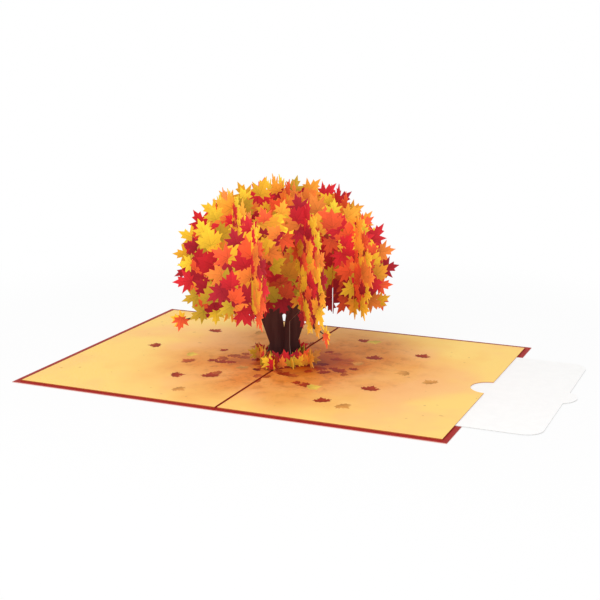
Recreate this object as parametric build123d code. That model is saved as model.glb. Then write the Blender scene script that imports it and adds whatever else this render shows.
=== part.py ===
from build123d import *
import math
import os
import random

# An open pop-up greeting card. A red cover carries two printed liners, the right liner is a pocket for a
# note card that slides out along +X, and a maple tree of slotted paper sheets stands on the fold.
# Millimetres, +Z up. The origin is on the cover's underside, at the middle of the fold, which runs along Y.
# The sheets of set A run along (1, 1), those of set B along (1, -1).

# Cover
LEAF_WIDTH = 127.0
CARD_DEPTH = 185.0
COVER_THICK = 0.4
SCORE_WIDTH = 0.9
SCORE_DEPTH = 0.15

# Liners, with the cover showing round them and along the fold
LINER_THICK = 0.25
BORDER = 3.2
FOLD_GAP = 1.6
THUMB_WIDTH = 21.0
THUMB_DEPTH = 10.0

# Note card and its pocket
NOTE_WIDTH = 133.0
NOTE_LENGTH = 91.0
NOTE_THICK = 0.35
NOTE_CORNER = 10.0
NOTE_SHOWS = 39.7
PULL_WIDTH = 20.0
PULL_REACH = 5.8
POCKET_CLEAR = 0.15

# Glue strips under the liners
GLUE_WIDTH = 5.0
GLUE_INSET = 1.0
GLUE_FROM_FOLD = 22.0

# Tree sheets
SHEET_THICK = 0.35
SLOT_CLEAR = 0.1
SHEET_PITCH = 31.0
CROWN_RADIUS = 67.0
CROWN_MID = 57.5
CROWN_RISE = 56.0
SKIRT_LOW = 33.5
CENTRE_SKIRT_LOW = 26.0
SKIRT_TUCK = 9.0
ARCH_HALF = 21.0
ARCH_TOP = 77.0
CANOPY_UNDERSIDE = 38.0

# Trunk
TRUNK_HALF = 9.0
TRUNK_WAIST = 14.0
FORK_LOW = 22.0
FORK_HIGH = 31.0
FORK_HALF = 1.2
FOOT_HALF = 15.0
FOOT_HEIGHT = 7.0
FOOT_EDGE = 4.0
FOOT_FLARE = 2.0
LIMB_WIDTH = 3.0
LIMB_REACH = 8.0
LIMB_TIP = 1.5

# Boughs of set B's trunk, which forks under an arch and leaves set A's leaves in sight
FORK_SPREAD = 4.0
BOUGH_ROOT = 28.5
BOUGH_REACH = 32.0
BOUGH_END = 43.0
BOUGH_WIDTH = 5.0

# Drooping twigs at the ends of the two centre sheets
TWIG_ROOT = 18.0
TWIG_REACH = 4.0
TWIG_DROP = 1.0
TWIG_THICK = 1.5
TWIG_SPREAD = 70.0
TWIG_HANG = 15.0

# Pile of fallen leaves at the foot of the trunk
PILE_PITCH = 11.0
PILE_HALF = 13.5
PILE_BAND = 4.5
PILE_FAN = 60.0
PILE_LEAVES = 6
PILE_LEAF_SMALL = 8.0
PILE_LEAF_LARGE = 11.0

# Glue tabs that hold the pile, and so the tree, to the cover
TAB_CENTRE = 6.5
TAB_WIDTH = 6.0
TAB_FLAP = 5.0

# Paper leaves: size is base to tip, and a leaf's anchor lies part of the way up from its base
LEAF_SMALL = 9.5
LEAF_LARGE = 13.5
LEAF_SPACING = 10.2
LEAF_ANCHOR = 0.25
LEAF_TURN = 32.0
EDGE_INSET = 8.5
ARC_STEP = 15

# See-through gaps between leaves, half way between the arch and the dome, at these turns from the sheet's +s end
GAP_SIZE = 1.5
GAP_TURNS = (10, 55, 75, 105, 125, 170)

# Right half of a maple leaf, base to tip, for a leaf one unit long
HALF_LEAF = (
    (0.00, 0.10), (0.24, 0.00), (0.19, 0.14), (0.50, 0.19), (0.37, 0.31),
    (0.55, 0.56), (0.17, 0.45), (0.24, 0.74), (0.11, 0.71), (0.00, 1.00),
)

# Levels
LINER_BOTTOM = COVER_THICK + NOTE_THICK + POCKET_CLEAR
FLOOR = LINER_BOTTOM + LINER_THICK
FOOT_SPLIT = FLOOR + FOOT_HEIGHT / 2
SLOT_WIDTH = SHEET_THICK + 2 * SLOT_CLEAR
LINER_EDGE = LEAF_WIDTH - BORDER
LINER_DEPTH = CARD_DEPTH - 2 * BORDER
DIAGONAL = math.sqrt(0.5)


def slab(x_low, x_high, y_low, y_high, z_low, thick):
    """Flat rectangular sheet between two x and two y values."""
    middle = ((x_low + x_high) / 2, (y_low + y_high) / 2, z_low + thick / 2)
    return Pos(*middle) * Box(x_high - x_low, y_high - y_low, thick)


def outline(points):
    """Face inside a closed run of straight edges."""
    return make_face(Polyline(*points, close=True))


# Cover, liners, glue strips and note card

def cover():
    sheet = slab(-LEAF_WIDTH, LEAF_WIDTH, -CARD_DEPTH / 2, CARD_DEPTH / 2, 0, COVER_THICK)
    half = SCORE_WIDTH / 2
    groove = outline([(-half, COVER_THICK), (0, COVER_THICK - SCORE_DEPTH), (half, COVER_THICK)])
    score = extrude(Plane.XZ * groove, CARD_DEPTH / 2, both=True)
    return sheet - score


def thumb_notch():
    edge = LINER_EDGE
    rim = ThreePointArc((edge, -THUMB_WIDTH / 2), (edge - THUMB_DEPTH, 0), (edge, THUMB_WIDTH / 2))
    mouth = Line((edge, THUMB_WIDTH / 2), (edge, -THUMB_WIDTH / 2))
    return extrude(Pos(0, 0, LINER_BOTTOM) * make_face([rim, mouth]), LINER_THICK)


def liner(side):
    inner, outer = sorted((side * FOLD_GAP / 2, side * LINER_EDGE))
    sheet = slab(inner, outer, -LINER_DEPTH / 2, LINER_DEPTH / 2, LINER_BOTTOM, LINER_THICK)
    for pile in PILES:
        sheet -= pile_slit(pile)
    return sheet - thumb_notch() if side > 0 else sheet


def glue_strips(side):
    """Strips along the front, the back and the fold; the left leaf is also glued along its outer edge."""
    y_edge = LINER_DEPTH / 2 - GLUE_INSET
    x_edge = LINER_EDGE - GLUE_INSET
    thick = LINER_BOTTOM - COVER_THICK
    runs = [(GLUE_FROM_FOLD, x_edge, s * y_edge, s * (y_edge - GLUE_WIDTH)) for s in (-1, 1)]
    y_inner = y_edge - GLUE_WIDTH
    runs.append((GLUE_FROM_FOLD, GLUE_FROM_FOLD + GLUE_WIDTH, -y_inner, y_inner))
    if side < 0:
        runs.append((x_edge - GLUE_WIDTH, x_edge, -y_inner, y_inner))
    strips = []
    for x_a, x_b, y_a, y_b in runs:
        x_low, x_high = sorted((side * x_a, side * x_b))
        y_low, y_high = sorted((y_a, y_b))
        strips.append(slab(x_low, x_high, y_low, y_high, COVER_THICK, thick))
    return Compound(children=strips)


def note_card():
    right = LEAF_WIDTH + NOTE_SHOWS
    body = Pos(right - NOTE_LENGTH / 2, 0) * Rectangle(NOTE_LENGTH, NOTE_WIDTH)
    body = fillet(body.vertices().group_by(Axis.X)[-1], NOTE_CORNER)
    curve = ThreePointArc((right, -PULL_WIDTH / 2), (right + PULL_REACH, 0), (right, PULL_WIDTH / 2))
    chord = Line((right, PULL_WIDTH / 2), (right, -PULL_WIDTH / 2))
    return extrude(Pos(0, 0, COVER_THICK) * (body + make_face([curve, chord])), NOTE_THICK)


# Sheets of the tree, drawn flat: s runs along the sheet from its middle, z up from the table

def sheet_plane(set_name, offset):
    """Plane of a sheet; its local x is s and its local y is height."""
    forward = (DIAGONAL, DIAGONAL, 0)
    sideways = (DIAGONAL, -DIAGONAL, 0)
    along, across = (forward, sideways) if set_name == "a" else (sideways, forward)
    facing = Vector(*along).cross(Vector(0, 0, 1))
    return Plane(origin=[offset * c for c in across], x_dir=along, z_dir=facing)


def maple_leaf(leaf):
    """Outline of one leaf: anchor s and z, direction of its tip in degrees, and length."""
    s, z, angle, size = leaf
    turn = math.radians(angle - 90)
    cos, sin = math.cos(turn), math.sin(turn)
    half = [(u * size, (v - LEAF_ANCHOR) * size) for u, v in HALF_LEAF]
    whole = half + [(-u, v) for u, v in reversed(half[1:-1])]
    return outline([(s + u * cos - v * sin, z + u * sin + v * cos) for u, v in whole])


def crown_ends(offset):
    """Half length and lowest height of the run that a sheet's edge leaves grow from."""
    reach = math.sqrt(CROWN_RADIUS ** 2 - offset ** 2)
    return reach - EDGE_INSET, (SKIRT_LOW if offset else CENTRE_SKIRT_LOW) + EDGE_INSET


def dome_point(offset, turn):
    """Point of the dome's part of that run, at a turn in degrees from the sheet's +s end."""
    half, _ = crown_ends(offset)
    rise = CROWN_RISE * (half + EDGE_INSET) / CROWN_RADIUS - EDGE_INSET
    t = math.radians(turn)
    return half * math.cos(t), CROWN_MID + rise * math.sin(t)


def arch_point(offset, turn):
    """Point of its arch, at a turn in degrees from the sheet's +s end."""
    _, low = crown_ends(offset)
    t = math.radians(turn)
    return (ARCH_HALF + EDGE_INSET) * math.cos(t), low + (ARCH_TOP + EDGE_INSET - low) * math.sin(t)


def crown_path(set_name, offset):
    """That run itself, closed and anticlockwise: a dome with an arch under it, or with set A's trunk."""
    half, low = crown_ends(offset)
    turns = range(0, 181, ARC_STEP)
    path = [(half - SKIRT_TUCK, low)] + [dome_point(offset, turn) for turn in turns]
    path.append((SKIRT_TUCK - half, low))
    if set_name == "a" and not offset:
        return path + [(-TRUNK_HALF, CANOPY_UNDERSIDE), (TRUNK_HALF, CANOPY_UNDERSIDE)]
    return path + [arch_point(offset, turn) for turn in reversed(turns)]


def leaf_gap(offset, turn):
    """Small three-cornered gap between leaves, half way between the arch and the dome."""
    (s_a, z_a), (s_d, z_d) = arch_point(offset, turn), dome_point(offset, turn)
    return Pos((s_a + s_d) / 2, (z_a + z_d) / 2) * RegularPolygon(GAP_SIZE, 3, rotation=turn)


def edge_leaves(path, seed):
    """Leaves at even steps along a closed run, each turned a little from straight out."""
    draw = random.Random(seed)
    corners = path + path[:1]
    lengths = [math.dist(a, b) for a, b in zip(corners, corners[1:])]
    count = round(sum(lengths) / LEAF_SPACING)
    leaves = []
    for i in range(count):
        left = i * sum(lengths) / count
        k = 0
        while left > lengths[k]:
            left -= lengths[k]
            k += 1
        (s_a, z_a), (s_b, z_b) = corners[k], corners[k + 1]
        share = left / lengths[k]
        outward = math.degrees(math.atan2(s_a - s_b, z_b - z_a))
        angle = outward + draw.uniform(-LEAF_TURN, LEAF_TURN)
        size = draw.uniform(LEAF_SMALL, LEAF_LARGE)
        leaves.append((s_a + share * (s_b - s_a), z_a + share * (z_b - z_a), angle, size))
    return leaves


def twig_ends(side):
    """Root and tip of a drooping twig."""
    half, low = crown_ends(0)
    return (side * (half - TWIG_ROOT), low), (side * (half + TWIG_REACH), low - TWIG_DROP)


def twig(side):
    (s_root, z_root), (s_tip, z_tip) = twig_ends(side)
    return outline([(s_root, z_root - TWIG_THICK), (s_root, z_root + TWIG_THICK), (s_tip, z_tip)])


def twig_leaves(side):
    """Two leaves at a twig's tip: one stands out, one hangs."""
    _, (s_tip, z_tip) = twig_ends(side)
    return [(s_tip, z_tip, angle, LEAF_SMALL) for angle in (90 - side * TWIG_SPREAD, side * TWIG_HANG - 90)]


def trunk(set_name):
    """Trunk from its foot up: set A's has a limb on each side, set B's forks into two boughs."""
    top = CANOPY_UNDERSIDE + LIMB_WIDTH
    right = [
        (FOOT_HALF, FLOOR), (FOOT_HALF, FLOOR + FOOT_EDGE), (TRUNK_HALF + FOOT_FLARE, FLOOR + FOOT_HEIGHT),
        (TRUNK_HALF, TRUNK_WAIST),
    ]
    middle = []
    if set_name == "a":
        right += [(TRUNK_HALF + LIMB_REACH + LIMB_TIP, top), (TRUNK_HALF + LIMB_REACH, top)]
        right += [(TRUNK_HALF, TRUNK_WAIST + LIMB_WIDTH), (TRUNK_HALF, FORK_HIGH), (TRUNK_HALF, top)]
    else:
        right += [(TRUNK_HALF, BOUGH_ROOT), (BOUGH_REACH, BOUGH_END), (BOUGH_REACH, BOUGH_END + BOUGH_WIDTH)]
        right.append((FORK_SPREAD, FORK_HIGH))
        middle = [(0, FORK_LOW)]
    return outline(right + middle + [(-s, z) for s, z in reversed(right)])


def fork_gap():
    """Drop-shaped gap where set A's trunk forks."""
    middle = FORK_HIGH - FORK_HALF
    left, right = [Line((0, FORK_LOW), (side * FORK_HALF, middle)) for side in (-1, 1)]
    cap = ThreePointArc((-FORK_HALF, middle), (0, FORK_HIGH), (FORK_HALF, middle))
    return make_face([left, cap, right])


def slot(s, z_low, z_high):
    """Half-lap slot across a sheet at s."""
    return Pos(s, (z_low + z_high) / 2) * Rectangle(SLOT_WIDTH, z_high - z_low)


def lap(cut_low, s, split, low, high):
    """Slot that leaves a sheet whole above the split, or else below it."""
    if cut_low:
        return slot(s, low, split + SLOT_CLEAR)
    return slot(s, split - SLOT_CLEAR, high)


def crown_split(offset, s):
    """Height at which two crown sheets share the paper where they cross."""
    top = CROWN_MID + CROWN_RISE * math.sqrt(1 - (offset ** 2 + s ** 2) / CROWN_RADIUS ** 2)
    return (top + (SKIRT_LOW if offset and s else ARCH_TOP)) / 2


def one_piece(shape):
    """The sheet itself, without the scraps that a cut frees."""
    return Sketch() + max(shape.faces(), key=lambda face: face.area)


def closed_up(shape, windows=0):
    """The sheet with no chance holes between its leaves, and with only its largest windows."""
    sheet = one_piece(shape).face()
    holes = sorted([Face(wire) for wire in sheet.inner_wires()], key=lambda hole: hole.area, reverse=True)
    whole = Sketch() + Face(sheet.outer_wire())
    return whole - holes[:windows] if windows else whole


def crown_sheet(set_name, offset, seed):
    """Sheet of the crown; set A is cut below each crossing and set B above, but at the axis the other way round."""
    path = crown_path(set_name, offset)
    shape = Sketch() + [outline(path)] + [maple_leaf(leaf) for leaf in edge_leaves(path, seed)]
    if not offset:
        shape += [twig(side) for side in (-1, 1)]
        shape += [maple_leaf(leaf) for side in (-1, 1) for leaf in twig_leaves(side)]
        shape += trunk(set_name)
    forked = set_name == "b" and not offset
    shape = closed_up(shape, 1 if forked else 0) - [leaf_gap(offset, turn) for turn in GAP_TURNS]
    if set_name == "a" and not offset:
        shape -= fork_gap()
    for s in (-SHEET_PITCH, 0, SHEET_PITCH):
        cut_low = (set_name == "a") != (offset == s == 0)
        shape -= lap(cut_low, s, crown_split(offset, s), 0, CROWN_MID + CROWN_RISE + LEAF_LARGE)
    if not offset:
        shape -= [lap(set_name == "a", side * PILE_PITCH, FOOT_SPLIT, 0, TRUNK_WAIST) for side in (-1, 1)]
    return sheet_plane(set_name, offset) * extrude(one_piece(shape), SHEET_THICK / 2, both=True)


# Pile of leaves: set, side of the trunk and seed of each sheet
PILES = {
    "leaf_pile_front": ("a", 1, 41),
    "leaf_pile_back": ("a", -1, 42),
    "leaf_pile_right": ("b", 1, 43),
    "leaf_pile_left": ("b", -1, 44),
}


def pile_leaves(seed):
    """Leaves that fan out along the top of a pile sheet."""
    draw = random.Random(seed)
    leaves = []
    for i in range(PILE_LEAVES):
        share = 2 * i / (PILE_LEAVES - 1) - 1
        angle = 90 - share * PILE_FAN + draw.uniform(-LEAF_TURN, LEAF_TURN) / 2
        size = draw.uniform(PILE_LEAF_SMALL, PILE_LEAF_LARGE)
        leaves.append((share * PILE_HALF, FLOOR + PILE_BAND, angle, size))
    return leaves


def pile_sheet(name):
    """Low sheet of leaves, with a glue tab through the liner and a flap turned out under it."""
    set_name, side, seed = PILES[name]
    tab_s = side * TAB_CENTRE
    reach = PILE_HALF + PILE_LEAF_LARGE
    shape = Sketch() + [Pos(0, FLOOR + PILE_BAND / 2) * Rectangle(2 * PILE_HALF, PILE_BAND)]
    shape += [maple_leaf(leaf) for leaf in pile_leaves(seed)]
    shape -= Pos(0, FLOOR - reach) * Rectangle(2 * reach, 2 * reach)
    shape = closed_up(shape)
    for s in (-PILE_PITCH, 0, PILE_PITCH):
        shape -= lap(set_name == "a", s, FOOT_SPLIT, 0, FLOOR + PILE_BAND + PILE_LEAF_LARGE)
    tab = Pos(tab_s, (FLOOR + COVER_THICK) / 2) * Rectangle(TAB_WIDTH, FLOOR - COVER_THICK)
    sheet = extrude(one_piece(shape) + tab, SHEET_THICK / 2, both=True)
    out = side if set_name == "a" else -side
    middle = Pos(tab_s, COVER_THICK + SHEET_THICK / 2, out * TAB_FLAP / 2)
    flap = middle * Box(TAB_WIDTH, SHEET_THICK, TAB_FLAP)
    return sheet_plane(set_name, side * PILE_PITCH) * (sheet + flap)


def pile_slit(name):
    """Slit in a liner for a pile sheet's tab."""
    set_name, side, _ = PILES[name]
    middle = Pos(side * TAB_CENTRE, FLOOR - LINER_THICK / 2, 0)
    slit = Box(TAB_WIDTH + 2 * SLOT_CLEAR, LINER_THICK, SLOT_WIDTH)
    return sheet_plane(set_name, side * PILE_PITCH) * middle * slit


# Crown sheets: set, offset from the middle and seed of each
CROWNS = {
    "tree_sheet_a_front": ("a", SHEET_PITCH, 11),
    "tree_sheet_a_centre": ("a", 0, 12),
    "tree_sheet_a_back": ("a", -SHEET_PITCH, 13),
    "tree_sheet_b_left": ("b", -SHEET_PITCH, 21),
    "tree_sheet_b_centre": ("b", 0, 22),
    "tree_sheet_b_right": ("b", SHEET_PITCH, 23),
}


os.makedirs("parts", exist_ok=True)
PARTS = {
    "cover": cover(),
    "left_liner": liner(-1),
    "right_liner": liner(1),
    "left_glue_strips": glue_strips(-1),
    "right_glue_strips": glue_strips(1),
    "note_card": note_card(),
}
for name, (set_name, offset, seed) in CROWNS.items():
    PARTS[name] = crown_sheet(set_name, offset, seed)
for name in PILES:
    PARTS[name] = pile_sheet(name)
for name, shape in PARTS.items():
    export_step(shape, f"parts/{name}.step")
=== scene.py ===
import logging
import math
import random
from collections.abc import Sequence
from dataclasses import dataclass, field
from enum import Enum

import bmesh
import bpy
import numpy as np
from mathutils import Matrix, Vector
from mathutils.geometry import delaunay_2d_cdt


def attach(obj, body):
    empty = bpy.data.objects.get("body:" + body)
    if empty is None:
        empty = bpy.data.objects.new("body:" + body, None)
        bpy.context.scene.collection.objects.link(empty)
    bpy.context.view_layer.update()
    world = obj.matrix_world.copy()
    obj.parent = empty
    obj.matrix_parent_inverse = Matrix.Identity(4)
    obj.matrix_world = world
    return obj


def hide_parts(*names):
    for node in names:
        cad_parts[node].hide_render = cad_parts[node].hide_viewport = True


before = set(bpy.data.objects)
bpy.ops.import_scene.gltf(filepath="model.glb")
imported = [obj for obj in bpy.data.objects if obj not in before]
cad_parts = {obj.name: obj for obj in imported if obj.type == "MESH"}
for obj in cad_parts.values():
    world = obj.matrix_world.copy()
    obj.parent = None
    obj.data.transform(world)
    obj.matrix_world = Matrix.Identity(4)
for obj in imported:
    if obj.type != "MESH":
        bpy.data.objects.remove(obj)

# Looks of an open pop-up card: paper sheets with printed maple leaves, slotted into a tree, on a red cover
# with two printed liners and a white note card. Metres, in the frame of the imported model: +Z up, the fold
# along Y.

log = logging.getLogger("pop_up_card")

Point = tuple[float, float]
Loop = list[Point]
Colour = tuple[float, float, float]
Feed = bpy.types.NodeSocket | float | Colour | None

MM = 0.001
CARD_BODY = "card"
PRINT_LAYER = "print"
SPOT_LAYER = "leaf_spot"
COVER_TOP = 0.4 * MM
UP = Vector((0, 0, 1))


# Pieces and their meshes

def placed(name: str, data: bpy.types.ID) -> bpy.types.Object:
    """Makes an object and puts it in the scene.

    Args:
        name: its name.
        data: its mesh, lamp or camera.

    Returns:
        The object.
    """
    made = bpy.data.objects.new(name, data)
    bpy.context.scene.collection.objects.link(made)
    return made


def write_shell(shell: bmesh.types.BMesh, mesh: bpy.types.Mesh) -> None:
    """Writes a shell that is done to its mesh."""
    shell.to_mesh(mesh)
    shell.free()


# Colours and leaves

def linear(code: str) -> Colour:
    """Turns a colour written as sRGB hex into linear RGB.

    Args:
        code: six hex digits.

    Returns:
        Red, green and blue, each from 0 to 1.
    """
    shares = [int(code[i:i + 2], 16) / 255 for i in (0, 2, 4)]
    return tuple(c / 12.92 if c <= 0.04045 else ((c + 0.055) / 1.055) ** 2.4 for c in shares)


class Tone(Enum):
    """Printed colours, as sRGB hex."""

    LEMON = "ffd940"
    YELLOW = "ffc83a"
    AMBER = "ffae3c"
    ORANGE = "fb9040"
    FLAME = "f9643c"
    RED = "dc323c"
    CRIMSON = "b52b38"
    MAROON = "862018"
    OLIVE = "d2b038"
    BRICK = "a6381a"
    RUST = "c05c2a"
    OCHRE = "dc9a4c"
    STRAW = "ecc956"
    SHADE = "8f3324"
    BARK = "3c1f1e"
    SPLIT = "765f58"
    PAPER = "f4ece0"

    @property
    def rgb(self) -> Colour:
        """The tone in linear RGB."""
        return linear(self.value)


class LeafShape(Enum):
    """Right half of a maple leaf one unit long, base to tip: as cut at a sheet's edge, and as printed."""

    CUT = (
        (0.00, 0.10), (0.24, 0.00), (0.19, 0.14), (0.50, 0.19), (0.37, 0.31),
        (0.55, 0.56), (0.17, 0.45), (0.24, 0.74), (0.11, 0.71), (0.00, 1.00),
    )
    PRINTED = (
        (0.00, 0.08), (0.21, 0.00), (0.22, 0.10), (0.47, 0.13), (0.42, 0.25), (0.60, 0.48),
        (0.45, 0.47), (0.45, 0.64), (0.24, 0.50), (0.27, 0.75), (0.14, 0.72), (0.00, 1.00),
    )

    def whole(self) -> Loop:
        """Both halves, anticlockwise from the base."""
        return list(self.value) + [(-u, v) for u, v in reversed(self.value[1:-1])]


@dataclass(frozen=True)
class Leaf:
    """One maple leaf on a flat sheet: its anchor, the direction of its tip in degrees, and its length.

    It is printed BLEED times as large as it is cut, about a point at the share MIDDLE of its length.
    """

    s: float
    z: float
    angle: float
    size: float
    shape: LeafShape = LeafShape.CUT
    anchor: float = 0.25

    SHADE_SPREAD = 0.11
    MIDDLE = 0.3
    BLEED = 1.02

    @property
    def shade(self) -> float:
        """How light the leaf is printed: it varies with the odd part of the leaf's angle."""
        return 1 + self.SHADE_SPREAD * math.sin(2 * math.pi * self.angle)

    def outline(self) -> Loop:
        """Finds the leaf's printed corners on the sheet, a little past the line that it is cut along.

        Returns:
            The corners, anticlockwise.
        """
        turn = math.radians(self.angle - 90)
        cos, sin = math.cos(turn) * self.size, math.sin(turn) * self.size
        lift = self.MIDDLE - self.anchor
        corners = [(u * self.BLEED, (v - self.MIDDLE) * self.BLEED + lift) for u, v in self.shape.whole()]
        return [(self.s + u * cos - v * sin, self.z + u * sin + v * cos) for u, v in corners]

    def local(self, point: Point) -> Point:
        """Finds where a point of the sheet lies on the leaf.

        Args:
            point: a place on the sheet.

        Returns:
            The place on a leaf one unit long that stands on the origin.
        """
        turn = math.radians(90 - self.angle)
        cos, sin = math.cos(turn) / self.size, math.sin(turn) / self.size
        s, z = point[0] - self.s, point[1] - self.z
        return s * cos - z * sin, s * sin + z * cos + self.anchor


class Coat(Enum):
    """What a face of a sheet is covered with."""

    LEAF = "leaf"
    BARK = "bark"
    GROUND = "ground"
    BARE = "bare"


@dataclass(frozen=True)
class Patch:
    """A printed shape: its outline, its coat, its tones on the two faces and, on a leaf, that leaf."""

    outline: Loop
    coat: Coat
    front: Tone
    back: Tone
    leaf: Leaf | None = None


@dataclass(frozen=True)
class LeafMix:
    """How often each tone is printed, at a sheet's lowest and highest leaves."""

    low: dict[Tone, float]
    high: dict[Tone, float]

    def draw(self, chance: random.Random, share: float) -> Tone:
        """Draws one tone.

        Args:
            chance: source of the draw.
            share: height on the sheet, from 0 to 1.

        Returns:
            The tone.
        """
        tones = list(Tone)
        odds = [self.low.get(t, 0) * (1 - share) + self.high.get(t, 0) * share for t in tones]
        return chance.choices(tones, odds)[0]


@dataclass
class Painter:
    """Gives leaves their tones, so that leaves close to each other differ.

    The bend keeps the low tones further up the sheet, and the lean does so towards its +s end.
    """

    mix: LeafMix
    chance: random.Random
    z_low: float
    z_high: float
    reach: float = 10 * MM
    draws: int = 3
    bend: float = 1.8
    lean: float = 7.0
    fixed: dict[Leaf, Tone] = field(default_factory=dict)
    done: list[Patch] = field(default_factory=list)

    def tone(self, share: float, near: list[Tone]) -> Tone:
        """Draws a few tones and takes the one that differs most from its neighbours.

        Args:
            share: height on the sheet, from 0 to 1.
            near: tones of the leaves close by.

        Returns:
            The tone.
        """
        drawn = [self.mix.draw(self.chance, share) for _ in range(self.draws)]
        return max(drawn, key=lambda tone: min((math.dist(tone.rgb, t.rgb) for t in near), default=1))

    def patch(self, leaf: Leaf) -> Patch:
        """Paints a leaf on both faces of its sheet, and remembers it.

        Args:
            leaf: the leaf.

        Returns:
            The printed shape.
        """
        share = min(1, max(0, (leaf.z - self.z_low) / (self.z_high - self.z_low))) ** self.bend
        share = min(1, max(0, share * (1 - self.lean * leaf.s)))
        near = [p for p in self.done if math.dist((p.leaf.s, p.leaf.z), (leaf.s, leaf.z)) < self.reach]
        front = self.tone(share, [p.front for p in near])
        front = self.fixed.get(leaf, front)
        back = self.tone(share, [p.back for p in near])
        self.done.append(Patch(leaf.outline(), Coat.LEAF, front, back, leaf))
        return self.done[-1]


# Flat geometry

def signed_area(loop: Loop) -> float:
    """Area inside a closed run, positive when it turns anticlockwise."""
    return sum(a[0] * b[1] - b[0] * a[1] for a, b in zip(loop, loop[1:] + loop[:1])) / 2


def inside(points: np.ndarray, loop: Loop) -> np.ndarray:
    """Tells which points lie inside a closed run.

    Args:
        points: the points, one a row.
        loop: corners of the run.

    Returns:
        True for each point that does.
    """
    s, z = points.T
    within = np.zeros(len(points), bool)
    for (s_a, z_a), (s_b, z_b) in zip(loop, loop[1:] + loop[:1]):
        if z_a != z_b:
            within ^= ((z_a > z) != (z_b > z)) & (s < s_a + (z - z_a) / (z_b - z_a) * (s_b - s_a))
    return within


def clearance(point: Point, loop: Loop) -> float:
    """Shortest distance from a point to a closed run.

    Args:
        point: the point.
        loop: corners of the run.

    Returns:
        The distance.
    """
    spot = Vector(point)
    best = math.inf
    for a, b in zip(loop, loop[1:] + loop[:1]):
        start, step = Vector(a), Vector(b) - Vector(a)
        share = min(1, max(0, (spot - start).dot(step) / step.length_squared))
        best = min(best, (spot - start - step * share).length)
    return best


@dataclass
class Division:
    """A flat sheet cut into triangles along the shapes printed on it.

    The triangles' corners are spots, and tops gives the topmost shape over each triangle, or -1. Corners
    count as one when they lie within NEAR, which is in millimetres.
    """

    spots: list[Point]
    triangles: list[tuple[int, int, int]]
    tops: list[int]

    NEAR = 1e-4
    WHOLE_HULL = 0

    @classmethod
    def of(cls, outer: Loop, holes: Sequence[Loop], shapes: Sequence[Loop]) -> "Division":
        """Cuts a sheet.

        Args:
            outer: the sheet's outline.
            holes: its holes.
            shapes: the printed shapes, lowest first.

        Returns:
            The sheet's triangles.
        """
        corners: list[Vector] = []
        edges: list[tuple[int, int]] = []
        for loop in (outer, *holes, *shapes):
            start, count = len(corners), len(loop)
            corners += [Vector(point) / MM for point in loop]
            edges += [(start + i, start + (i + 1) % count) for i in range(count)]
        flat, _, cut, *_ = delaunay_2d_cdt(corners, edges, [], cls.WHOLE_HULL, cls.NEAR)
        spots = np.array(flat, float) * MM
        triangles = np.array(cut, int)
        middles = spots[triangles].mean(axis=1)
        paper = inside(middles, outer)
        for hole in holes:
            paper &= ~inside(middles, hole)
        triangles, middles = triangles[paper], middles[paper]
        tops = np.full(len(triangles), -1)
        for number, shape in enumerate(shapes):
            tops[inside(middles, shape)] = number
        used, renumbered = np.unique(triangles, return_inverse=True)
        triangles = renumbered.reshape(-1, 3)
        return cls(spots[used].tolist(), [tuple(t) for t in triangles.tolist()], tops.tolist())

    def rim(self) -> dict[tuple[int, int], int]:
        """Edges round the sheet and its holes, paper on their left, with the triangle beside each."""
        edges = {(t[i], t[(i + 1) % 3]): k for k, t in enumerate(self.triangles) for i in range(3)}
        return {(a, b): k for (a, b), k in edges.items() if (b, a) not in edges}


@dataclass(frozen=True)
class Axes:
    """Where a flat sheet lies: its middle plane's origin and the directions of its two coordinates."""

    origin: Vector
    along: Vector
    up: Vector

    @property
    def facing(self) -> Vector:
        """Direction that the sheet's front faces."""
        return self.along.cross(self.up)

    def place(self, point: Point, lift: float) -> Vector:
        """Place in the frame of a point of the sheet, lifted from its middle plane."""
        return self.origin + self.along * point[0] + self.up * point[1] + self.facing * lift

    def flatten(self, spot: Vector) -> tuple[float, float, float]:
        """Coordinates on the sheet, and lift, of a place in the frame."""
        step = spot - self.origin
        return step.dot(self.along), step.dot(self.up), step.dot(self.facing)


# Finishes

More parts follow.
